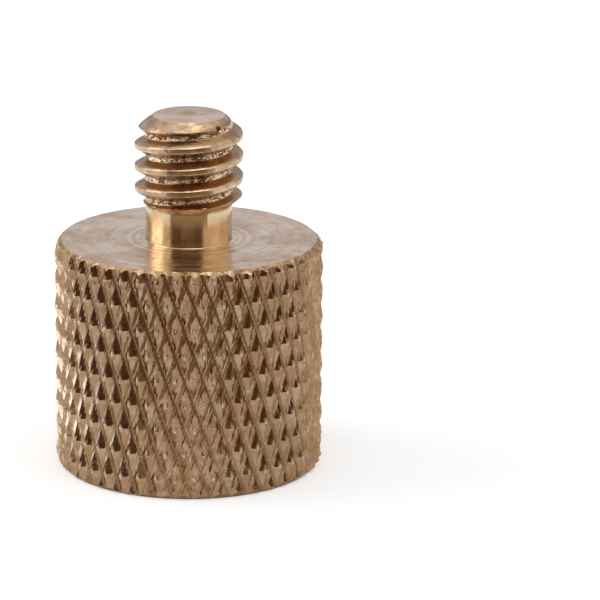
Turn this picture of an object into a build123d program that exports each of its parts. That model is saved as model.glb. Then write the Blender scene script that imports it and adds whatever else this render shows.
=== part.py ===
# Tripod thread adapter: one piece of brass turned from round bar.
# A knurled thumb grip with a camera stud on top and a blind threaded hole underneath.
import os
from math import cos, degrees, pi, radians, sin, tan

from build123d import *

# Grip, in millimetres and degrees. The origin is the middle of the bottom face and +Z runs up the stud.
grip_diameter = 15.8
grip_height = 13.5
rim_width = 0.49
rim_drop = 0.38

# Diamond knurl: helical grooves of both hands, the left-hand ones one fewer and rolled a little deeper.
# A first ridge is where that hand's ridges start at the bottom face, from +X towards +Y.
knurl_angle = 21.0
left_grooves = 44
left_depth = 0.40
left_first_ridge = 5.7
right_grooves = 45
right_depth = 0.34
right_first_ridge = 4.7

# Stud for the camera
stud_diameter = 6.3
stud_length = 7.4
neck_diameter = 5.0
neck_length = 2.1
neck_fillet = 0.15
tip_diameter = 4.1
tip_drop = 0.8
pip_diameter = 0.6
pip_height = 0.08

# Thread of the stud, 1/4 inch with 20 turns to the inch, right hand.
# Its groove starts a little above the grip, beside the neck, at groove_turn from +X.
thread_pitch = 1.27
thread_root_diameter = 4.9
thread_crest_width = 0.32
thread_angle = 60
lead_in_length = 0.55
groove_start = 1.265
groove_turn = 209.8
groove_overrun = 1.7
groove_clearance = 0.1

# Hole for the tripod screw, 3/8 inch with 16 turns to the inch, bored to its crests
bore_diameter = 8.1
bore_depth = 9.6
mouth_diameter = 12.2
mouth_angle = 90
drill_point_angle = 118

# Worked out from the sizes above
grip_radius = grip_diameter / 2
rim_radius = grip_radius - rim_width
stud_radius = stud_diameter / 2
neck_radius = neck_diameter / 2
bore_radius = bore_diameter / 2
stud_top = grip_height + stud_length
lead_in_bottom = grip_height + neck_length
lead_in_top = lead_in_bottom + lead_in_length
thread_depth = stud_radius - thread_root_diameter / 2
flank_reach = tan(radians(thread_angle / 2))
groove_width = thread_pitch - thread_crest_width
groove_floor = groove_width - 2 * thread_depth * flank_reach
groove_mouth = groove_width + 2 * groove_clearance * flank_reach
groove_length = stud_length - groove_start + groove_overrun
mouth_depth = (mouth_diameter - bore_diameter) / 2 / tan(radians(mouth_angle / 2))
drill_point_top = bore_depth + bore_radius / tan(radians(drill_point_angle / 2))


def knurled_bar(grooves, depth, first_ridge, hand):
    """The bar with one hand's grooves: a star of ridges, twisted evenly along its length."""
    star = []
    for corner in range(2 * grooves):
        angle = radians(first_ridge) + corner * pi / grooves
        radius = grip_radius if corner % 2 == 0 else grip_radius - depth
        star.append((radius * cos(angle), radius * sin(angle)))
    with BuildSketch() as section:
        Polygon(*star, align=None)
    twist = hand * degrees(grip_height * tan(radians(knurl_angle)) / grip_radius)
    return Solid.extrude_linear_with_rotation(section.sketch.face(), (0, 0, 0), (0, 0, grip_height), twist)


def threaded_stud():
    """The stud, from a foot inside the grip up: neck, lead-in, thread, sloped tip and the pip of the cut-off."""
    with BuildPart() as stud:
        with BuildSketch(Plane.XZ):
            with BuildLine():
                Polyline(
                    (0, grip_height - neck_radius),
                    (neck_radius, grip_height - neck_radius),
                    (neck_radius, lead_in_bottom),
                    (stud_radius, lead_in_top),
                    (stud_radius, stud_top - tip_drop),
                    (tip_diameter / 2, stud_top),
                    (pip_diameter / 2, stud_top),
                    (0, stud_top + pip_height),
                    close=True,
                )
            make_face()
        revolve(axis=Axis.Z)

        # The thread is one groove, cut along a helix and out through the tip
        path = Helix(
            pitch=thread_pitch,
            height=groove_length,
            radius=stud_radius,
            center=(0, 0, grip_height + groove_start),
        )
        with BuildSketch(Plane(origin=path @ 0, x_dir=(1, 0, 0), z_dir=(0, -1, 0))):
            Polygon(
                (groove_clearance, -groove_mouth / 2),
                (groove_clearance, groove_mouth / 2),
                (-thread_depth, groove_floor / 2),
                (-thread_depth, -groove_floor / 2),
                align=None,
            )
        sweep(path=path, is_frenet=True, mode=Mode.SUBTRACT)
    return stud.part.rotate(Axis.Z, groove_turn)


with BuildPart() as thread_adapter:
    # Where the two hands cross, what is left between their grooves is a field of pyramids
    add(knurled_bar(right_grooves, right_depth, right_first_ridge, 1))
    add(knurled_bar(left_grooves, left_depth, left_first_ridge, -1), mode=Mode.INTERSECT)

    # Both rims are chamfered through the knurl, which leaves them scalloped
    with BuildSketch(Plane.XZ) as faced_ends:
        with BuildLine():
            Polyline(
                (0, 0),
                (rim_radius, 0),
                (rim_radius + 2 * rim_width, 2 * rim_drop),
                (rim_radius + 2 * rim_width, grip_height - 2 * rim_drop),
                (rim_radius, grip_height),
                (0, grip_height),
                close=True,
            )
        make_face()
    revolve(axis=Axis.Z, mode=Mode.INTERSECT)

    # Where the stud meets the grip its root is rounded
    add(threaded_stud())
    shoulder = thread_adapter.faces().filter_by(Plane.XY).group_by(Axis.Z)[-2]
    neck_root = shoulder.edges().filter_by(GeomType.CIRCLE).sort_by(SortBy.RADIUS)[0]
    fillet(neck_root, neck_fillet)

    # Blind hole from below: wide mouth, bore at the thread's crests, drill point
    with BuildSketch(Plane.XZ) as hole_section:
        with BuildLine():
            Polyline(
                (0, 0),
                (mouth_diameter / 2, 0),
                (bore_radius, mouth_depth),
                (bore_radius, bore_depth),
                (0, drill_point_top),
                close=True,
            )
        make_face()
    revolve(axis=Axis.Z, mode=Mode.SUBTRACT)

thread_adapter.part.label = "thread_adapter"
os.makedirs("parts", exist_ok=True)
export_step(thread_adapter.part, "parts/thread_adapter.step")
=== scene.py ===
import math

import bmesh
import bpy
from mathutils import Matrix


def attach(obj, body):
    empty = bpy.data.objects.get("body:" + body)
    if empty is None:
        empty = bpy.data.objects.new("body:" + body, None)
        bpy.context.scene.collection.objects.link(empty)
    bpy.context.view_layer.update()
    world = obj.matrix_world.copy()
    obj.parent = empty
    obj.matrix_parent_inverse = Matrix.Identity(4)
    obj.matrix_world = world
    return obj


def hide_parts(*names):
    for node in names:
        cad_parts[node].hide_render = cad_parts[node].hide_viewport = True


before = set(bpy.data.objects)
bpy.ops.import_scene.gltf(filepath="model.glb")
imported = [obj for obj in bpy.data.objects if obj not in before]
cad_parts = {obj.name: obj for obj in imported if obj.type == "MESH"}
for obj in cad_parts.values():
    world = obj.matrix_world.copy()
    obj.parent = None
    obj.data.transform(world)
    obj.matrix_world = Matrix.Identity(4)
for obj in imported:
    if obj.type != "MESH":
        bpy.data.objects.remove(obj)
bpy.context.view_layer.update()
scene = bpy.context.scene
print("packed model loaded")

toMetres = 0.001
toMillimetres = 1000.0
fullTurn = 2.0 * math.pi
samePoint = 0.000002    # metres; points nearer to each other than this are one
noLength = 0.0000005    # metres; an edge shorter than this is taken out


# A number in a node tree, so that a rule reads as plain arithmetic
class Num:
    def __init__(self, tree, socket):
        self.tree, self.socket = tree, socket

    def math(self, operation, *others):
        made = self.tree.nodes.new("ShaderNodeMath")
        made.operation = operation
        for slot, value in zip(made.inputs, (self,) + others):
            feed(slot, value)
        return Num(self.tree, made.outputs[0])

    def __add__(self, other):
        return self.math("ADD", other)

    def __sub__(self, other):
        return self.math("SUBTRACT", other)

    def __rsub__(self, other):
        return (self * -1.0) + other

    def __mul__(self, other):
        return self.math("MULTIPLY", other)

    def __truediv__(self, other):
        return self.math("DIVIDE", other)

    def atLeast(self, other):
        return self.math("MAXIMUM", other)

    def atMost(self, other):
        return self.math("MINIMUM", other)

    # 0 at every whole number and 1 half way between them
    def wave(self):
        return self.math("PINGPONG", 0.5) * 2.0


# Sets an input, or links it where the value comes from another node
def feed(slot, value):
    if isinstance(value, Num):
        value = value.socket
    if isinstance(value, bpy.types.NodeSocket):
        slot.id_data.links.new(value, slot)
    else:
        slot.default_value = value


def put(tree, kind, inputs=None, **settings):
    made = tree.nodes.new(kind)
    for name, value in settings.items():
        setattr(made, name, value)
    for key, value in (inputs or {}).items():
        feed(made.inputs[key], value)
    return made


def noiseAt(tree, spot, scale, detail=2.0, roughness=0.5):
    made = put(tree, "ShaderNodeTexNoise", {
        "Vector": spot, "Scale": scale, "Detail": detail, "Roughness": roughness})
    return Num(tree, made.outputs[0])


# The camera stands where the photograph's did, in metres and degrees
view = {
    "distance": 0.2411, "elevation": 18.43, "pitch": 16.21,
    "lens": 245.0, "sensor": 36.0, "shiftX": 0.1852, "clipStart": 0.01,
}

cameraData = bpy.data.cameras.new("camera")
cameraData.sensor_width = view["sensor"]
cameraData.lens = view["lens"]
cameraData.shift_x = view["shiftX"]
cameraData.clip_start = view["clipStart"]
camera = bpy.data.objects.new("camera", cameraData)
rise = math.radians(view["elevation"])
camera.location = (0.0, -view["distance"] * math.cos(rise), view["distance"] * math.sin(rise))
camera.rotation_euler = (math.radians(90.0 - view["pitch"]), 0.0, 0.0)
scene.collection.objects.link(camera)
scene.camera = camera
scene.view_settings.view_transform = "Standard"
print("camera placed")


# Effects for the brasses. Each takes and gives numbers, and works in millimetres.
def newMarksTree(name, inputs, outputs):
    tree = bpy.data.node_groups.new(name, "ShaderNodeTree")
    for label in inputs:
        tree.interface.new_socket(name=label, in_out="INPUT", socket_type="NodeSocketFloat")
    for label in outputs:
        tree.interface.new_socket(name=label, in_out="OUTPUT", socket_type="NodeSocketFloat")
    source = tree.nodes.new("NodeGroupInput")
    sink = tree.nodes.new("NodeGroupOutput")
    place = put(tree, "ShaderNodeTexCoord").outputs["Object"]
    spot = put(tree, "ShaderNodeVectorMath", {0: place, 1: (toMillimetres,) * 3}, operation="MULTIPLY")
    return tree, [Num(tree, source.outputs[label]) for label in inputs], spot.outputs[0], sink


# 0 at the first limit and beyond, 1 at the second
def between(value, low, high):
    made = put(value.tree, "ShaderNodeMapRange", {"Value": value, "From Min": low, "From Max": high})
    return Num(value.tree, made.outputs[0])


# Rings left by the cutting tool, on faces and round the stud. A noise is scale, detail and roughness.
turningLook = {
    "slant": 1.3, "wander": (0.3, 3.0, 0.55), "fineDetail": 2.0, "broadScale": 2.2, "broadDetail": 1.0,
    "fineHeight": 0.45, "broadHeight": 0.55, "fineRings": 0.4, "broadRings": 0.6, "ringsAt": (0.4, 0.62),
}


def makeTurningMarks():
    look = turningLook
    tree, (fineness, wander), spot, sink = newMarksTree(
        "turningMarks", ["Fineness", "Wander"], ["Height", "Rings", "Radius"])
    place = put(tree, "ShaderNodeSeparateXYZ", {"Vector": spot})
    x, y, z = [Num(tree, socket) for socket in place.outputs]
    fromAxis = (x * x + y * y).math("SQRT")
    across = fromAxis + z * look["slant"] + (noiseAt(tree, spot, *look["wander"]) - 0.5) * wander

    def lineNoise(along, detail):
        made = put(tree, "ShaderNodeTexNoise", {
            "W": along, "Scale": 1.0, "Detail": detail}, noise_dimensions="1D")
        return Num(tree, made.outputs[0])

    fine = lineNoise(across * fineness, look["fineDetail"])
    broad = lineNoise(across * look["broadScale"], look["broadDetail"])
    feed(sink.inputs["Height"], fine * look["fineHeight"] + broad * look["broadHeight"])
    rings = fine * look["fineRings"] + broad * look["broadRings"]
    feed(sink.inputs["Rings"], between(rings, *look["ringsAt"]))
    feed(sink.inputs["Radius"], fromAxis)
    return tree


# Tarnish in blotches, dark specks, a fine grain and broader lumps
stainLook = {
    "blotchDetail": 5.0, "blotchRoughness": 0.62, "blotchEdge": 0.1, "noCover": 0.75, "fullCover": 0.25,
    "specks": (2.6, 2.0, 0.5), "specksAt": (0.705, 0.73), "grain": (7.0, 4.0, 0.7), "lumps": (2.2, 2.0, 0.5),
}


def makeStains():
    look = stainLook
    tree, (size, cover), spot, sink = newMarksTree(
        "stains", ["Size", "Cover"], ["Blotch", "Specks", "Grain", "Lumps"])
    blotch = noiseAt(tree, spot, size.math("POWER", -1.0), look["blotchDetail"], look["blotchRoughness"])
    edge = look["noCover"] - cover * (look["noCover"] - look["fullCover"])
    feed(sink.inputs["Blotch"], between(blotch, edge - look["blotchEdge"], edge + look["blotchEdge"]))
    feed(sink.inputs["Specks"], between(noiseAt(tree, spot, *look["specks"]), *look["specksAt"]))
    feed(sink.inputs["Grain"], noiseAt(tree, spot, *look["grain"]))
    feed(sink.inputs["Lumps"], noiseAt(tree, spot, *look["lumps"]))
    return tree


# Flakes of torn metal, flatter than they are wide, some of them bright
flakeLook = {"squeeze": (1.0, 1.0, 1.8), "patches": (0.9, 1.0, 0.55), "patchPull": 1.2, "brightEdge": 0.1}


def makeFlakes():
    look = flakeLook
    tree, (size, share), spot, sink = newMarksTree("flakes", ["Size", "Share"], ["Height", "Bright"])
    flat = put(tree, "ShaderNodeVectorMath", {0: spot, 1: look["squeeze"]}, operation="MULTIPLY")
    flake = put(tree, "ShaderNodeTexVoronoi", {"Vector": flat.outputs[0], "Scale": size.math("POWER", -1.0)})
    tint = put(tree, "ShaderNodeSeparateColor", {"Color": flake.outputs["Color"]})
    feed(sink.inputs["Height"], flake.outputs["Distance"])
    chance = Num(tree, tint.outputs[0]) + (noiseAt(tree, spot, *look["patches"]) - 0.5) * look["patchPull"]
    limit = 1.0 - share
    feed(sink.inputs["Bright"], between(chance, limit - look["brightEdge"], limit + look["brightEdge"]))
    return tree


turningMarks = makeTurningMarks()
stains = makeStains()
flakes = makeFlakes()


def effect(tree, group, inputs):
    made = tree.nodes.new("ShaderNodeGroup")
    made.node_tree = group
    for label, value in inputs.items():
        feed(made.inputs[label], value)
    return {socket.name: Num(tree, socket) for socket in made.outputs}


def storedOn(tree, name):
    return Num(tree, put(tree, "ShaderNodeAttribute", attribute_name=name).outputs["Fac"])


# Goes from one colour to the next by each mask in turn
def coloured(tree, first, *steps):
    colour = first
    for mask, following in steps:
        made = put(tree, "ShaderNodeMix", {"Factor": mask, 6: colour, 7: following}, data_type="RGBA")
        colour = made.outputs[2]
    return colour


def newBrass(name):
    metal = bpy.data.materials.new(name)
    metal.use_nodes = True
    shader = metal.node_tree.nodes["Principled BSDF"]
    shader.inputs["Metallic"].default_value = 1.0
    return metal, metal.node_tree, shader


def dressShader(tree, shader, colour, rough, height, bump):
    feed(shader.inputs["Base Color"], colour)
    feed(shader.inputs["Roughness"], rough)
    raised = put(tree, "ShaderNodeBump", {"Strength": 1.0, "Distance": bump, "Height": height})
    feed(shader.inputs["Normal"], raised.outputs[0])


# In each brass: a pair named At goes from nothing to full, Share is how much of a mask shows,
# and Ragged is how much the grain breaks its edge.

# Knurled: darker in the grooves, partly tarnish and partly painted shade, and brighter at the points, partly
# wear and partly a painted highlight
knurlLook = {
    "plain": (0.45, 0.31, 0.195, 1.0), "warm": (0.29, 0.165, 0.08, 1.0),
    "tarnishAndShade": (0.14, 0.065, 0.027, 1.0), "worn": (0.86, 0.72, 0.54, 1.0),
    "stains": {"Size": 1.1, "Cover": 0.5}, "rightHand": 0.85,
    "grooveAt": (0.7, 1.0), "grooveRagged": 0.3, "grooveTarnishAndShadeShare": 0.65,
    "pointAt": (0.25, 0.1), "pointRagged": 0.5, "pointWearAndHighlightShare": 0.55, "cleanAt": (1.0, 0.4),
    "blotchShare": 0.7, "lumpAt": (0.6, 0.35), "lumpShare": 0.6, "speckShare": 0.6,
    "craterAt": (0.17, 0.0), "craterRagged": 0.1, "craterWhere": (0.35, 0.6),
    "rough": 0.1, "grainRough": 0.12, "blotchRough": 0.05, "grooveRough": 0.1, "pointRough": 0.1,
    "bump": 0.000012, "grainBump": 0.6, "pointBump": 6.0, "lumpBump": 1.4, "craterBump": 4.0,
}


def makeKnurledBrass():
    look = knurlLook
    metal, tree, shader = newBrass("brassKnurled")
    marks = effect(tree, stains, look["stains"])
    grain, blotch, lumps = marks["Grain"], marks["Blotch"], marks["Lumps"]
    # 0 at the tips of the pyramids, 1 at the bottom of the grooves
    hollow = storedOn(tree, "leftWave").atLeast(storedOn(tree, "rightWave") * look["rightHand"])

    def zone(name):
        return between(hollow + (grain - 0.5) * look[name + "Ragged"], *look[name + "At"])

    # The grooves take the tarnish colour: partly real tarnish, partly painted shade in the recesses
    groove, crater = zone("groove"), zone("crater")
    # The points take the worn colour: partly real wear, partly a painted highlight standing for the glints of
    # the tips
    point = zone("point") * between(blotch, *look["cleanAt"])
    colour = coloured(
        tree, look["plain"],
        (blotch * look["blotchShare"], look["warm"]),
        (between(lumps, *look["lumpAt"]) * look["lumpShare"], look["warm"]),
        (groove * look["grooveTarnishAndShadeShare"], look["tarnishAndShade"]),
        (point * look["pointWearAndHighlightShare"], look["worn"]),
        (marks["Specks"] * look["speckShare"], look["tarnishAndShade"]))
    rough = (grain * look["grainRough"] + blotch * look["blotchRough"] + groove * look["grooveRough"]
             + point * look["pointRough"] + look["rough"])
    height = grain * (point * look["pointBump"] + look["grainBump"]) + lumps * look["lumpBump"]
    # Some tips are little craters, where the rolled metal didn't quite close
    height = height - crater * between(lumps, *look["craterWhere"]) * look["craterBump"]
    dressShader(tree, shader, colour, rough, height, look["bump"])
    return metal


# Turned flat: greyer, with the tool's rings, a shallow step round the stud with a painted highlight on it and
# bands of painted shade beside it, a few stains and specks
turnedLook = {
    "plain": (0.87, 0.70, 0.51, 1.0), "ring": (0.74, 0.55, 0.37, 1.0), "stain": (0.50, 0.33, 0.18, 1.0),
    "speck": (0.10, 0.06, 0.035, 1.0), "pip": (0.52, 0.36, 0.14, 1.0), "stepHighlight": (0.95, 0.84, 0.70, 1.0),
    "rings": {"Fineness": 9.0, "Wander": 0.35}, "stains": {"Size": 1.9, "Cover": 0.46},
    "ringShare": 0.5, "blotchShare": 0.65,
    "pipAt": (0.9, 0.6), "pipRagged": 0.4, "pipShare": 0.85,
    "stepRadius": 3.6, "stepRagged": 0.2, "stepHighlightAt": (0.13, 0.03), "stepHighlightShare": 0.7,
    "shadeOff": 0.3, "shadeAt": (0.16, 0.02), "shadeShare": 0.35,
    "rough": 0.17, "ringRough": 0.12, "blotchRough": 0.1,
    "bump": 0.0000026, "grainBump": 0.25, "stepHighlightBump": 3.0,
}


def makeTurnedBrass():
    look = turnedLook
    metal, tree, shader = newBrass("brassTurned")
    rings = effect(tree, turningMarks, look["rings"])
    marks = effect(tree, stains, look["stains"])
    pip = between(rings["Radius"] + marks["Grain"] * look["pipRagged"], *look["pipAt"])
    step = (rings["Radius"] + marks["Grain"] * look["stepRagged"] - look["stepRadius"]).math("ABSOLUTE")
    # On the step a painted highlight, as where light catches its edge; 0.3 mm to each side of it a band of
    # painted shade in the stain colour
    stepHighlight = between(step, *look["stepHighlightAt"])
    shade = between((step - look["shadeOff"]).math("ABSOLUTE"), *look["shadeAt"])
    colour = coloured(
        tree, look["plain"],
        (rings["Rings"] * look["ringShare"], look["ring"]),
        (marks["Blotch"] * look["blotchShare"], look["stain"]),
        (marks["Specks"], look["speck"]),
        (pip * look["pipShare"], look["pip"]),
        (shade * look["shadeShare"], look["stain"]),
        (stepHighlight * look["stepHighlightShare"], look["stepHighlight"]))
    rough = rings["Rings"] * look["ringRough"] + marks["Blotch"] * look["blotchRough"] + look["rough"]
    height = rings["Height"] + marks["Grain"] * look["grainBump"] - stepHighlight * look["stepHighlightBump"]
    dressShader(tree, shader, colour, rough, height, look["bump"])
    return metal


# Neck: the brightest brass, with faint lines round it
neckLook = {
    "plain": (0.66, 0.495, 0.315, 1.0), "stain": (0.46, 0.27, 0.11, 1.0),
    "rings": {"Fineness": 18.0, "Wander": 0.2}, "stains": {"Size": 0.9, "Cover": 0.34},
    "blotchShare": 0.5, "speckShare": 0.7,
    "rough": 0.04, "ringRough": 0.06, "blotchRough": 0.12, "bump": 0.000004, "grainBump": 0.3,
}


def makeNeckBrass():
    look = neckLook
    metal, tree, shader = newBrass("brassNeck")
    rings = effect(tree, turningMarks, look["rings"])
    marks = effect(tree, stains, look["stains"])
    colour = coloured(
        tree, look["plain"],
        (marks["Blotch"] * look["blotchShare"], look["stain"]),
        (marks["Specks"] * look["speckShare"], look["stain"]))
    rough = rings["Rings"] * look["ringRough"] + marks["Blotch"] * look["blotchRough"] + look["rough"]
    height = rings["Height"] + marks["Grain"] * look["grainBump"]
    dressShader(tree, shader, colour, rough, height, look["bump"])
    return metal


# Rim: golden and knocked at the top, darkened at the bottom by painted shade. The height between them is in
# metres.
rimLook = {
    "plain": (0.40, 0.26, 0.14, 1.0), "stain": (0.36, 0.20, 0.09, 1.0),
    "worn": (0.92, 0.78, 0.55, 1.0), "bottomShade": (0.22, 0.13, 0.065, 1.0),
    "stains": {"Size": 0.6, "Cover": 0.5}, "upperAt": (0.006, 0.008),
    "wornAt": (0.5, 0.62), "wornShare": 0.7, "blotchShare": 0.75,
    "rough": 0.16, "grainRough": 0.2, "bump": 0.00005, "lumpBump": 3.0,
}


def makeRimBrass():
    look = rimLook
    metal, tree, shader = newBrass("brassRim")
    marks = effect(tree, stains, look["stains"])
    place = put(tree, "ShaderNodeSeparateXYZ", {"Vector": put(tree, "ShaderNodeTexCoord").outputs["Object"]})
    upper = between(Num(tree, place.outputs["Z"]), *look["upperAt"])
    # Below the upper mask the rim takes painted shade, where the bar stands on the floor
    colour = coloured(
        tree, look["plain"],
        (between(marks["Lumps"], *look["wornAt"]) * upper * look["wornShare"], look["worn"]),
        (marks["Blotch"] * look["blotchShare"], look["stain"]),
        (1.0 - upper, look["bottomShade"]))
    rough = marks["Grain"] * look["grainRough"] + look["rough"]
    height = marks["Grain"] + marks["Lumps"] * look["lumpBump"]
    dressShader(tree, shader, colour, rough, height, look["bump"])
    return metal


# Threaded: brown in the flanks, torn and sparkling at the bottom of the groove, which is painted dark as
# shade, with a chip where the groove runs out through the tip, dented and painted near-black as the shade in
# its notch
threadLook = {
    "crest": (0.52, 0.36, 0.22, 1.0), "flank": (0.38, 0.215, 0.095, 1.0), "dark": (0.12, 0.06, 0.03, 1.0),
    "torn": (1.0, 0.86, 0.68, 1.0), "worn": (0.78, 0.62, 0.44, 1.0), "chip": (0.05, 0.028, 0.016, 1.0),
    "rings": {"Fineness": 16.0, "Wander": 0.15}, "stains": {"Size": 0.8, "Cover": 0.45},
    "flakes": {"Size": 0.17, "Share": 0.55},
    "rootAt": (0.86, 0.97), "rootShare": 0.75, "flankAt": (0.05, 0.4), "flankShare": 0.85,
    "blotchShare": 0.3, "wornAt": (0.45, 0.65), "wornShare": 0.45,
    "chipPlace": (0.00173, -0.0019, 0.0205), "chipAt": (0.2, 0.12), "chipRagged": 0.5,
    "rough": 0.14, "grainRough": 0.16, "rootRough": 0.1, "chipRough": 0.3,
    "bump": 0.00001, "grainBump": 0.5, "lumpBump": 3.0, "tornBump": 8.0, "chipBump": 6.0,
}


def makeThreadedBrass():
    look = threadLook
    metal, tree, shader = newBrass("brassThreaded")
    rootness = storedOn(tree, "rootness")
    rings = effect(tree, turningMarks, look["rings"])
    marks = effect(tree, stains, look["stains"])
    tears = effect(tree, flakes, look["flakes"])
    # The bottom of the groove takes the dark colour as painted shade; the same colour also serves the real
    # blotches
    root, flank = between(rootness, *look["rootAt"]), between(rootness, *look["flankAt"])
    away = put(tree, "ShaderNodeVectorMath", {
        0: put(tree, "ShaderNodeTexCoord").outputs["Object"], 1: look["chipPlace"]}, operation="DISTANCE")
    away = Num(tree, away.outputs["Value"]) * toMillimetres
    # The chip is a real dent, painted near-black as the shade inside its notch
    chip = between(away + (marks["Grain"] - 0.5) * look["chipRagged"], *look["chipAt"])
    colour = coloured(
        tree, look["crest"],
        (flank * look["flankShare"], look["flank"]),
        (marks["Blotch"] * look["blotchShare"], look["dark"]),
        (between(marks["Lumps"], *look["wornAt"]) * (1.0 - flank) * look["wornShare"], look["worn"]),
        (root * look["rootShare"], look["dark"]),
        (root * tears["Bright"], look["torn"]),
        (chip, look["chip"]))
    rough = marks["Grain"] * look["grainRough"] + root * look["rootRough"] + chip * look["chipRough"]
    height = rings["Height"] + marks["Grain"] * look["grainBump"] + marks["Lumps"] * look["lumpBump"]
    height = height + tears["Height"] * root * look["tornBump"] - chip * look["chipBump"]
    dressShader(tree, shader, colour, rough + look["rough"], height, look["bump"])
    return metal


brassKnurled = makeKnurledBrass()
brassTurned = makeTurnedBrass()
brassNeck = makeNeckBrass()
brassRim = makeRimBrass()
brassThreaded = makeThreadedBrass()
print("brass mixed")


def newShapeTree(name, sizes):
    tree = bpy.data.node_groups.new(name, "GeometryNodeTree")
    for label, value in sizes.items():
        kind = "NodeSocketInt" if isinstance(value, int) else "NodeSocketFloat"
        if isinstance(value, bpy.types.Material):
            kind = "NodeSocketMaterial"
        tree.interface.new_socket(name=label, in_out="INPUT", socket_type=kind)
    tree.interface.new_socket(name="Mesh", in_out="OUTPUT", socket_type="NodeSocketGeometry")
    source = tree.nodes.new("NodeGroupInput")
    sink = tree.nodes.new("NodeGroupOutput")
    return tree, {label: Num(tree, source.outputs[label]) for label in sizes}, sink


# Runs a shape tree once and returns what it makes as a plain mesh
def shapeFromTree(tree, sizes):
    carrier = bpy.data.objects.new(tree.name, bpy.data.meshes.new(tree.name))
    scene.collection.objects.link(carrier)
    modifier = carrier.modifiers.new("Shape", "NODES")
    modifier.node_group = tree
    for item in tree.interface.items_tree:
        if item.in_out == "INPUT":
            modifier[item.identifier] = sizes[item.name]
    evaluated = carrier.evaluated_get(bpy.context.evaluated_depsgraph_get())
    mesh = bpy.data.meshes.new_from_object(evaluated)
    carrier.modifiers.clear()
    bpy.data.objects.remove(carrier)
    return mesh


# A flat grid of unit squares, and each point's place in it counted in columns and rows
def countedGrid(tree, columns, rows):
    grid = put(tree, "GeometryNodeMeshGrid", {
        "Size X": columns, "Size Y": rows, "Vertices X": columns + 1.0, "Vertices Y": rows + 1.0})
    place = put(tree, "ShaderNodeSeparateXYZ", {"Vector": put(tree, "GeometryNodeInputPosition").outputs[0]})
    x, y = Num(tree, place.outputs["X"]), Num(tree, place.outputs["Y"])
    return grid.outputs["Mesh"], x + columns * 0.5, y + rows * 0.5


# A place round the axis, by its turn in radians, its distance from the axis and its height
def roundAxis(tree, turn, reach, z=0.0):
    place = put(tree, "ShaderNodeCombineXYZ", {
        "X": turn.math("COSINE") * reach, "Y": turn.math("SINE") * reach, "Z": z})
    return place.outputs[0]


# Moves the grid's points to their places and joins it where it meets itself
def bentGrid(tree, shape, spot):
    bent = put(tree, "GeometryNodeSetPosition", {"Geometry": shape, "Position": spot})
    joined = put(tree, "GeometryNodeMergeByDistance", {"Geometry": bent.outputs[0], "Distance": samePoint})
    return joined.outputs[0]


def withNumber(tree, shape, name, value):
    store = put(tree, "GeometryNodeStoreNamedAttribute", {"Geometry": shape, "Name": name, "Value": value},
                data_type="FLOAT", domain="POINT")
    return store.outputs[0]


# Sizes in millimetres and degrees. The ridge counts, angles and depths are the solid model's.
# A scale is how many bumps of its noise there are to the millimetre.
knurl = {
    "Radius": 7.9, "Height": 13.5, "Helix angle": 21.0,
    "Left ridges": 44, "Left start": 5.7, "Left depth": 0.40,
    "Right ridges": 45, "Right start": 4.7, "Right depth": 0.34,
    "Rim width": 0.49, "Rim drop": 0.38,
    "Steps": 6, "Crowding": 1.5, "Spare rows": 3.0, "Snap": 0.006,
    "Groove floor": 0.18, "Groove round": 0.1, "Ridge round": 0.1, "Blunt": 0.07,
    "Uneven": 0.06, "Uneven scale": 0.9, "Dented": 0.02, "Dent scale": 4.0,
    "Rim wear": 0.5, "Rim wear from": 0.42, "Rim wear scale": 1.4,
    "Knurl material": brassKnurled, "Rim material": brassRim,
}
rimPasses = 3    # goes at finding where the rim's cone meets the knurl
onLine = 0.05    # a face whose wave is below this has a ridge or a groove through its middle


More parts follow.
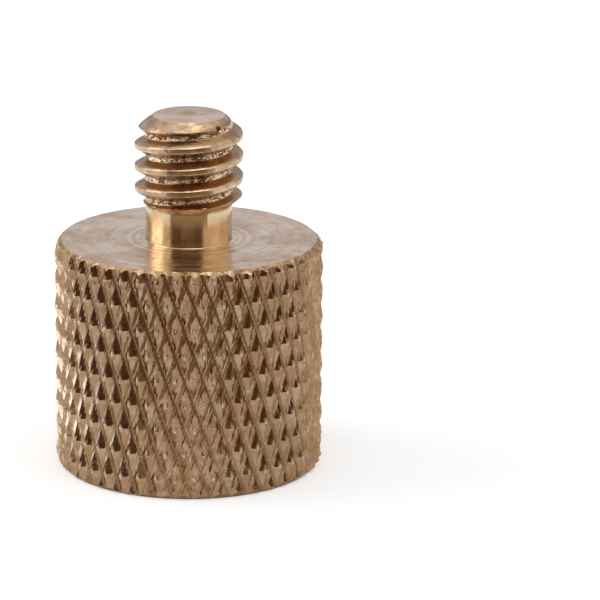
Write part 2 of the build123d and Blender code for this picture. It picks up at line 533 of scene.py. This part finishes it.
def makeKnurl():
    tree, size, sink = newShapeTree("knurledTube", knurl)
    steps, radius, height = size["Steps"], size["Radius"], size["Height"]
    leftPitch = size["Left ridges"].math("DIVIDE", 360.0).math("POWER", -1.0)
    rightPitch = size["Right ridges"].math("DIVIDE", 360.0).math("POWER", -1.0)
    twist = size["Helix angle"].math("RADIANS").math("TANGENT") / radius
    twist = twist.math("DEGREES")                      # degrees of turn for each millimetre up
    meanPitch = (leftPitch + rightPitch) * 0.5
    rowRise = meanPitch * 0.5 / twist                  # from one row of ridge crossings to the next

    # A flat grid first: across it one step is a column, up it one step is a row
    columns = (size["Left ridges"] + size["Right ridges"]) * steps
    firstRow = steps * -1.0 - size["Spare rows"]
    lastRow = (height / rowRise * steps).math("CEIL") + 1.0
    rows = lastRow - firstRow + 2.0                    # one more at each end for the rim
    flat, column, row = countedGrid(tree, columns, rows)
    row = row + firstRow - 1.0

    # Where the point is on the bar: both ridge counts are whole numbers on a ridge
    def onBar(left, right):
        turned = left * leftPitch + right * rightPitch
        climbed = left * leftPitch - right * rightPitch
        angle = (turned + size["Left start"] + size["Right start"]) * 0.5
        return angle, (climbed + size["Left start"] - size["Right start"]) / (twist * 2.0)

    # The points crowd towards the grooves, where the shape is rounded
    def crowded(count):
        off = count - count.math("ROUND")
        reach = 1.0 - (1.0 - off.math("ABSOLUTE") * 2.0).atLeast(0.0).math("POWER", size["Crowding"])
        return count.math("ROUND") + off.math("SIGN") * reach * 0.5

    leftCount, rightCount = (column + row) / (steps * 2.0), (column - row) / (steps * 2.0)
    angle, level = onBar(crowded(leftCount), crowded(rightCount))

    # A column's line, before the points crowd, on which its last points meet the rim
    lean = (leftPitch - rightPitch) * twist / (meanPitch * 2.0)
    plainAngle, plainLevel = onBar(leftCount, rightCount)
    foot = plainAngle - lean * plainLevel

    def waves(turn, z):
        leftWave = ((turn - size["Left start"] + twist * z) / leftPitch).wave()
        rightWave = ((turn - size["Right start"] - twist * z) / rightPitch).wave()
        return leftWave, rightWave

    # Flat from the rounded ridge to near the groove's bottom, then rounded again
    def grooved(wave, depth):
        slope = size["Left depth"] / (1.0 - size["Groove floor"])
        wave = (wave * wave + size["Ridge round"] * size["Ridge round"]).math("SQRT")
        return (wave * slope).math("SMOOTH_MIN", depth, size["Groove round"])

    def knurlRadius(turn, z):
        leftWave, rightWave = waves(turn, z)
        depth = grooved(leftWave, size["Left depth"]).atLeast(grooved(rightWave, size["Right depth"]))
        return (radius - depth).math("SMOOTH_MIN", radius - size["Blunt"], size["Blunt"])

    # Height at which the rim's cone meets the knurl, found by going back and forth between them
    rimRadius = radius - size["Rim width"]
    fall = size["Rim drop"] / size["Rim width"]
    lowEdge = size["Rim drop"] * 0.5
    highEdge = height - size["Rim drop"] * 0.5
    for attempt in range(rimPasses):
        lowEdge = (knurlRadius(foot + lean * lowEdge, lowEdge) - rimRadius) * fall
        highEdge = height - (knurlRadius(foot + lean * highEdge, highEdge) - rimRadius) * fall

    # The rims are knocked back in places
    onRim = roundAxis(tree, foot.math("RADIANS"), radius)
    knock = (noiseAt(tree, onRim, size["Rim wear scale"]) - size["Rim wear from"]).atLeast(0.0)
    knock = knock * size["Rim wear"]
    lowEdge, highEdge = lowEdge + knock, highEdge - knock

    # Points beyond an edge move to it, and the last row at each end to the faces
    isLow = level.math("LESS_THAN", lowEdge + size["Snap"])
    isHigh = level.math("GREATER_THAN", highEdge - size["Snap"])
    below = row.math("LESS_THAN", firstRow - 0.5)
    above = row.math("GREATER_THAN", lastRow + 0.5)
    atEnd = below + above
    z = level * (1.0 - isLow - isHigh) + lowEdge * isLow + highEdge * isHigh
    z = z * (1.0 - atEnd) + height * above
    angle = angle * (1.0 - isLow - isHigh) + (foot + lean * z) * (isLow + isHigh)
    r = knurlRadius(angle, z).atMost(rimRadius + z.atMost(height - z) / fall)

    # Each groove is a little deeper here and shallower there, and its flanks are slightly dented
    leftWave, rightWave = waves(angle, z)
    onTube = roundAxis(tree, angle.math("RADIANS"), radius, z)
    uneven = (noiseAt(tree, onTube, size["Uneven scale"]) - 0.5) * size["Uneven"]
    dented = (noiseAt(tree, onTube, size["Dent scale"]) - 0.5) * size["Dented"]
    r = r - (uneven + dented) * (1.0 - atEnd)

    keep = put(tree, "GeometryNodeCaptureAttribute", domain="POINT")
    captured = {"leftWave": leftWave, "rightWave": rightWave, "angle": angle, "z": z, "r": r}
    for label in captured:
        keep.capture_items.new("FLOAT", label)
    for label, value in captured.items():
        feed(keep.inputs[label], value)
    feed(keep.inputs["Geometry"], flat)

    # The diagonals follow the ridges and grooves: left-hand ones in some squares, right-hand ones in the
    # others. A face's column and row are those of its middle.
    faceKeep = put(tree, "GeometryNodeCaptureAttribute", domain="FACE")
    for label in ("leftDiagonal", "rim"):
        faceKeep.capture_items.new("FLOAT", label)
    feed(faceKeep.inputs["leftDiagonal"], ((column + row) / steps).wave().math("LESS_THAN", onLine))
    feed(faceKeep.inputs["rim"], row.math("LESS_THAN", firstRow) + row.math("GREATER_THAN", lastRow))
    feed(faceKeep.inputs["Geometry"], keep.outputs["Geometry"])
    first = put(tree, "GeometryNodeTriangulate", {
        "Mesh": faceKeep.outputs["Geometry"], "Selection": faceKeep.outputs["leftDiagonal"],
    }, quad_method="FIXED_ALTERNATE")
    second = put(tree, "GeometryNodeTriangulate", {"Mesh": first.outputs[0]}, quad_method="FIXED")

    kept = {label: Num(tree, keep.outputs[label]) for label in captured}
    spot = roundAxis(tree, kept["angle"].math("RADIANS"), kept["r"] * toMetres, kept["z"] * toMetres)
    shape = bentGrid(tree, second.outputs[0], spot)
    for label in ("leftWave", "rightWave"):
        shape = withNumber(tree, shape, label, kept[label])
    shape = put(tree, "GeometryNodeRealizeInstances", {"Geometry": shape}).outputs[0]
    shape = put(tree, "GeometryNodeSetMaterial", {
        "Geometry": shape, "Material": size["Knurl material"]}).outputs[0]
    shape = put(tree, "GeometryNodeSetMaterial", {
        "Geometry": shape, "Selection": faceKeep.outputs["rim"], "Material": size["Rim material"]}).outputs[0]
    feed(sink.inputs["Mesh"], shape)
    return shapeFromTree(tree, knurl)


knurlMesh = makeKnurl()
print("knurled tube", len(knurlMesh.polygons), "faces")

# Sizes in millimetres. Rise and fall are how far the surface may depart from the end's radius for each
# millimetre from the end. The tearing fades in over a part of a millimetre at both ends, and the higher
# its focus, the closer it keeps to the bottom of the groove.
studThread = {
    "Pitch": 1.27, "Crest at": 18.47, "Crest": 3.15, "Root": 2.5, "Crest width": 0.3175, "Flank": 1.73,
    "Crest round": 0.2, "Root round": 0.25, "Columns": 178, "Rows a turn": 28, "Snap": 0.006,
    "Bottom": 14.7, "Bottom radius": 2.5, "Runout start": 15.6, "Bottom rise": 1.18, "Bottom fall": 3.0,
    "Top": 20.84, "Top radius": 2.08, "Top rise": 1.375, "Top fall": 100.0, "Top round": 0.7,
    "Shoulder radius": 2.93, "Shoulder rise": 0.2, "Shoulder round": 0.05,
    "Tearing": 0.035, "Tear scale": 4.5, "Tear detail": 3.0, "Tear focus": 4.0, "Tear fade": 4.0,
    "Material": brassThreaded,
}
# A hole's radii are negative, so that its crests, the parts nearest the axis, are the highest numbers
holeThread = studThread | {
    "Pitch": 1.5875, "Crest at": 4.2, "Crest": -4.05, "Root": -4.8, "Crest width": 0.5, "Rows a turn": 12,
    "Bottom": 0.0, "Bottom radius": -6.1, "Runout start": 0.0, "Bottom rise": 1.0, "Bottom fall": 100.0,
    "Top": 9.6, "Top radius": -4.05, "Top rise": 100.0, "Top fall": 1.5, "Top round": 0.0,
    "Shoulder radius": 0.0, "Shoulder rise": 0.0, "Tearing": 0.02,
}


def makeThreadTree():
    tree, size, sink = newShapeTree("thread", studThread)
    pitch, perTurn, columns = size["Pitch"], size["Rows a turn"], size["Columns"]
    turnsBelow = ((size["Crest at"] - size["Bottom"]) / pitch).math("CEIL") + 1.0
    turnsAbove = ((size["Top"] - size["Crest at"]) / pitch).math("CEIL")
    rows = (turnsBelow + turnsAbove) * perTurn
    flat, column, row = countedGrid(tree, columns, rows)
    turn, row = column.math("ROUND") / columns, row.math("ROUND")

    # The rows climb one pitch each turn, and stop level at both ends
    z = size["Crest at"] + pitch * (row / perTurn + turn - turnsBelow)
    z = z + (size["Bottom"] - z) * z.math("LESS_THAN", size["Bottom"] + size["Snap"])
    z = z + (size["Top"] - z) * z.math("GREATER_THAN", size["Top"] - size["Snap"])
    fromCrest = ((z - size["Crest at"]) / pitch - turn).wave() * pitch * 0.5
    depth = size["Crest"] - size["Root"]
    cut = (fromCrest - size["Crest width"] * 0.5) * size["Flank"]
    cut = cut.math("SMOOTH_MAX", 0.0, size["Crest round"])
    cut = cut.math("SMOOTH_MIN", depth, size["Root round"])

    # The ends hold the thread in: the run-out below, the shoulder and the slope above
    up = (z - size["Runout start"]).atLeast(0.0)
    down = size["Top"] - z
    reach = size["Crest"] - cut
    reach = reach.atMost(size["Bottom radius"] + up * size["Bottom rise"])
    reach = reach.atLeast(size["Bottom radius"] - (z - size["Bottom"]) * size["Bottom fall"])
    shoulder = size["Shoulder radius"] + down * size["Shoulder rise"]
    reach = reach.math("SMOOTH_MIN", shoulder, size["Shoulder round"])
    reach = reach.math("SMOOTH_MIN", size["Top radius"] + down * size["Top rise"], size["Top round"])
    reach = reach.atLeast(size["Top radius"] - down * size["Top fall"])
    inThread = (up * size["Tear fade"]).atMost(1.0) * (down * size["Tear fade"]).atMost(1.0)
    rootness = (cut / depth).atMost(1.0) * inThread

    # Torn metal in the bottom of the groove
    angle = turn * fullTurn
    onThread = roundAxis(tree, angle, reach.math("ABSOLUTE"), z)
    tear = noiseAt(tree, onThread, size["Tear scale"], size["Tear detail"])
    torn = (tear - 0.5) * size["Tearing"] * 2.0 * rootness.math("POWER", size["Tear focus"])
    spot = roundAxis(tree, angle, (reach + torn).math("ABSOLUTE") * toMetres, z * toMetres)
    shape = bentGrid(tree, withNumber(tree, flat, "rootness", rootness), spot)
    shape = put(tree, "GeometryNodeRealizeInstances", {"Geometry": shape}).outputs[0]
    shape = put(tree, "GeometryNodeSetMaterial", {"Geometry": shape, "Material": size["Material"]}).outputs[0]
    feed(sink.inputs["Mesh"], shape)
    return tree


threadTree = makeThreadTree()
studMesh = shapeFromTree(threadTree, studThread)
holeMesh = shapeFromTree(threadTree, holeThread)
print("threads", len(studMesh.polygons), "and", len(holeMesh.polygons), "faces")

# Turned faces, as pairs of radius and height in the order they are closed, in millimetres and degrees
turned = {
    "topFace": [(7.2, 13.5), (5.2, 13.5), (3.64, 13.5), (3.5, 13.491), (3.36, 13.5), (2.56, 13.5)],
    "neck": [(2.524, 13.51), (2.506, 13.53), (2.5, 13.56), (2.5, 14.1), (2.5, 14.7)],
    "tip": [(1.98, 20.875), (1.84, 20.89), (0.6, 20.895), (0.4, 20.9), (0.2, 20.94)],
    "drillPoint": [(2.0, 10.832)], "tipTop": 20.97, "drillPointTop": 12.033, "count": 178,
    "mouthTop": 2.1, "mouthSlack": 0.03, "neckFrom": 14.6, "neckTo": 15.48, "neckWithin": 3.0,
    "sharpAbove": 16.0,
}
metals = [brassKnurled, brassTurned, brassNeck, brassThreaded, brassRim]


def turnOf(vert):
    return math.atan2(vert.co.y, vert.co.x) % fullTurn


def ringAt(mesh, r, z):
    found = []
    for vert in mesh.verts:
        offRadius = abs(math.hypot(vert.co.x, vert.co.y) - r * toMetres)
        if abs(vert.co.z - z * toMetres) < samePoint and offRadius < samePoint:
            found.append(vert)
    return sorted(found, key=turnOf)


def newRing(mesh, r, z):
    ring = []
    for i in range(turned["count"]):
        angle = fullTurn * i / turned["count"]
        spot = (r * toMetres * math.cos(angle), r * toMetres * math.sin(angle), z * toMetres)
        ring.append(mesh.verts.new(spot))
    return ring


# Closes the band between two rings, whatever their numbers of points
def zipRings(mesh, one, other, metal):
    i = j = 0
    while i < len(one) or j < len(other):
        a, b = one[i % len(one)], other[j % len(other)]
        nextA = turnOf(one[(i + 1) % len(one)]) + (fullTurn if i + 1 >= len(one) else 0.0)
        nextB = turnOf(other[(j + 1) % len(other)]) + (fullTurn if j + 1 >= len(other) else 0.0)
        if j >= len(other) or (i < len(one) and nextA <= nextB):
            i += 1
            face = mesh.faces.new((a, b, one[i % len(one)]))
        else:
            j += 1
            face = mesh.faces.new((a, b, other[j % len(other)]))
        face.material_index = metals.index(metal)


def bandOfRings(mesh, start, profile, metal):
    ring = start
    for r, z in profile:
        following = newRing(mesh, r, z)
        zipRings(mesh, ring, following, metal)
        ring = following
    return ring


def closeAtPole(mesh, ring, z, metal):
    pole = mesh.verts.new((0.0, 0.0, z * toMetres))
    for i in range(len(ring)):
        face = mesh.faces.new((ring[i], ring[(i + 1) % len(ring)], pole))
        face.material_index = metals.index(metal)


# Joins the knurled tube and the two threads into one closed body, with the turned faces between them
def makeAdapter():
    body = bmesh.new()
    for part in (knurlMesh, studMesh, holeMesh):
        before = len(body.faces)
        body.from_mesh(part)
        body.faces.ensure_lookup_table()
        places = [metals.index(metal) if metal else 0 for metal in part.materials]
        for face in body.faces[before:]:
            face.material_index = places[face.material_index]

    rimRadius = knurl["Radius"] - knurl["Rim width"]
    mouthRadius = -holeThread["Bottom radius"]
    ring = bandOfRings(body, ringAt(body, rimRadius, knurl["Height"]), turned["topFace"], brassTurned)
    bandOfRings(body, ring, turned["neck"], brassNeck)
    ring = ringAt(body, studThread["Top radius"], studThread["Top"])
    ring = bandOfRings(body, ring, turned["tip"], brassTurned)
    closeAtPole(body, ring, turned["tipTop"], brassTurned)
    zipRings(body, ringAt(body, rimRadius, 0.0), ringAt(body, mouthRadius, 0.0), brassTurned)
    ring = ringAt(body, -holeThread["Top radius"], holeThread["Top"])
    ring = bandOfRings(body, ring, turned["drillPoint"], brassTurned)
    closeAtPole(body, ring, turned["drillPointTop"], brassTurned)

    bmesh.ops.remove_doubles(body, verts=body.verts, dist=samePoint)
    bmesh.ops.dissolve_degenerate(body, edges=body.edges, dist=noLength)
    bmesh.ops.recalc_face_normals(body, faces=body.faces)
    print("open edges", len([edge for edge in body.edges if len(edge.link_faces) != 2]))

    for face in body.faces:
        face.smooth = True
        middle = face.calc_center_median() * toMillimetres
        fromAxis = math.hypot(middle.x, middle.y)
        # the cone of the hole's mouth is turned, not threaded
        if middle.z < turned["mouthTop"] and abs(fromAxis + middle.z - mouthRadius) < turned["mouthSlack"]:
            face.material_index = metals.index(brassTurned)
        # the neck's finish goes on up to where the thread runs out
        if turned["neckFrom"] < middle.z < turned["neckTo"] and fromAxis < turned["neckWithin"]:
            face.material_index = metals.index(brassNeck)

    mesh = bpy.data.meshes.new("adapter")
    body.to_mesh(mesh)
    body.free()
    for metal in metals:
        mesh.materials.append(metal)
    mesh.set_sharp_from_angle(angle=math.radians(turned["sharpAbove"]))
    made = bpy.data.objects.new("adapter", mesh)
    scene.collection.objects.link(made)
    triangles = sum(len(face.vertices) - 2 for face in mesh.polygons)
    print("adapter", len(mesh.polygons), "faces", triangles, "triangles")
    return made


adapter = makeAdapter()
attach(adapter, "root")
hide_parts("thread_adapter")

# White paper all round, three lamps, and cards that only the metal mirrors, in metres and degrees.
# Angles go round from the front, positive to the right.
studio = {
    "floorHalf": 3.0, "paper": (0.82, 0.82, 0.82, 1.0), "paperGlow": 0.45,
    "world": (1.0, 1.0, 1.0, 1.0), "worldOnObject": 0.5, "cardPieces": 24, "lampRise": 0.01,
}
# From angle, to angle, colour, strength, and the radius and height of one edge and the other
cards = {
    "darkCard": (-50.0, 38.0, (0.1, 0.058, 0.032, 1.0), 1.0, (0.6, 0.0), (0.6, 0.7)),
    "rightCard": (38.0, 125.0, (0.95, 0.87, 0.76, 1.0), 1.0, (0.6, 0.0), (0.6, 0.7)),
    "backCard": (125.0, 236.0, (0.63, 0.63, 0.70, 1.0), 1.0, (0.6, 0.1), (0.6, 0.7)),
    "backLowCard": (125.0, 236.0, (0.3, 0.24, 0.18, 1.0), 1.0, (0.6, 0.0), (0.6, 0.1)),
    # A bright glowing strip on the floor at the back left, no lamp, seen only in reflections: painted light
    # for glints at the far left edge
    "leftGlowSheet": (-150.0, -79.0, (0.70, 0.81, 1.0, 1.0), 4.4, (0.0105, 0.0002), (0.029, 0.0002)),
    # A dim sheet on the floor in front, seen only in reflections: painted shade on the paper there
    "frontShadeSheet": (-50.0, 50.0, (0.38, 0.27, 0.18, 1.0), 1.0, (0.025, 0.0002), (0.5, 0.0002)),
    "frontLight": (-20.0, 8.0, (1.0, 0.95, 0.88, 1.0), 2.2, (0.6, 0.32), (0.6, 0.48)),
}
# Angle, elevation, distance, width and height, power in watts
lamps = {
    "leftLamp": (-95.0, 30.0, 0.7, (0.5, 0.6), 1.5),
    "rightLamp": (80.0, 25.0, 0.7, (0.3, 0.5), 0.35),
    "topLamp": (20.0, 75.0, 0.8, (0.5, 0.5), 1.0),
}


# 1 for what the camera, a mirror or a clear body sees, 0 for the light that falls on things
def seenDirectly(tree):
    path = tree.nodes.new("ShaderNodeLightPath")
    seen = Num(tree, path.outputs["Is Camera Ray"]).atLeast(path.outputs["Is Glossy Ray"])
    return seen.atLeast(path.outputs["Is Transmission Ray"])


# An object of plain faces with one material, and that material's emptied tree
def newStagePiece(name, materialName, verts, faces):
    mesh = bpy.data.meshes.new(name)
    mesh.from_pydata(verts, [], faces)
    piece = bpy.data.objects.new(name, mesh)
    scene.collection.objects.link(piece)
    paint = bpy.data.materials.new(materialName)
    paint.use_nodes = True
    paint.node_tree.nodes.clear()
    mesh.materials.append(paint)
    return piece, paint.node_tree


def makeFloor():
    half = studio["floorHalf"]
    corners = [(-half, -half, 0), (half, -half, 0), (half, half, 0), (-half, half, 0)]
    floor, tree = newStagePiece("floor", "paper", corners, [(0, 1, 2, 3)])
    lit = put(tree, "ShaderNodeBsdfDiffuse", {"Color": studio["paper"]})
    glow = put(tree, "ShaderNodeEmission", {"Strength": seenDirectly(tree) * studio["paperGlow"]})
    both = put(tree, "ShaderNodeAddShader", {0: lit.outputs[0], 1: glow.outputs[0]})
    put(tree, "ShaderNodeOutputMaterial", {"Surface": both.outputs[0]})


def makeCard(name, fromAngle, toAngle, colour, strength, oneEdge, otherEdge):
    verts, faces = [], []
    for i in range(studio["cardPieces"] + 1):
        angle = math.radians(fromAngle + (toAngle - fromAngle) * i / studio["cardPieces"])
        for r, z in (oneEdge, otherEdge):
            verts.append((r * math.sin(angle), -r * math.cos(angle), z))
        if i:
            faces.append((2 * i - 2, 2 * i, 2 * i + 1, 2 * i - 1))
    card, tree = newStagePiece(name, name, verts, faces)
    glow = put(tree, "ShaderNodeEmission", {"Color": colour, "Strength": strength})
    put(tree, "ShaderNodeOutputMaterial", {"Surface": glow.outputs[0]})
    card.visible_camera = False
    card.visible_diffuse = False
    card.visible_shadow = False


def makeLamp(name, azimuth, elevation, distance, size, power):
    data = bpy.data.lights.new(name, "AREA")
    data.shape = "RECTANGLE"
    data.size, data.size_y = size
    data.energy = power
    lamp = bpy.data.objects.new(name, data)
    a, e = math.radians(azimuth), math.radians(elevation)
    lamp.location = (distance * math.sin(a) * math.cos(e), -distance * math.cos(a) * math.cos(e),
                     distance * math.sin(e) + studio["lampRise"])
    lamp.rotation_euler = (math.radians(90.0 - elevation), 0.0, a)
    scene.collection.objects.link(lamp)


makeFloor()
for name, card in cards.items():
    makeCard(name, *card)
for name, lamp in lamps.items():
    makeLamp(name, *lamp)

world = bpy.data.worlds.new("studio")
world.use_nodes = True
scene.world = world
sky = world.node_tree.nodes["Background"]
sky.inputs["Color"].default_value = studio["world"]
amount = seenDirectly(world.node_tree) * (1.0 - studio["worldOnObject"]) + studio["worldOnObject"]
feed(sky.inputs["Strength"], amount)
print("studio lit")
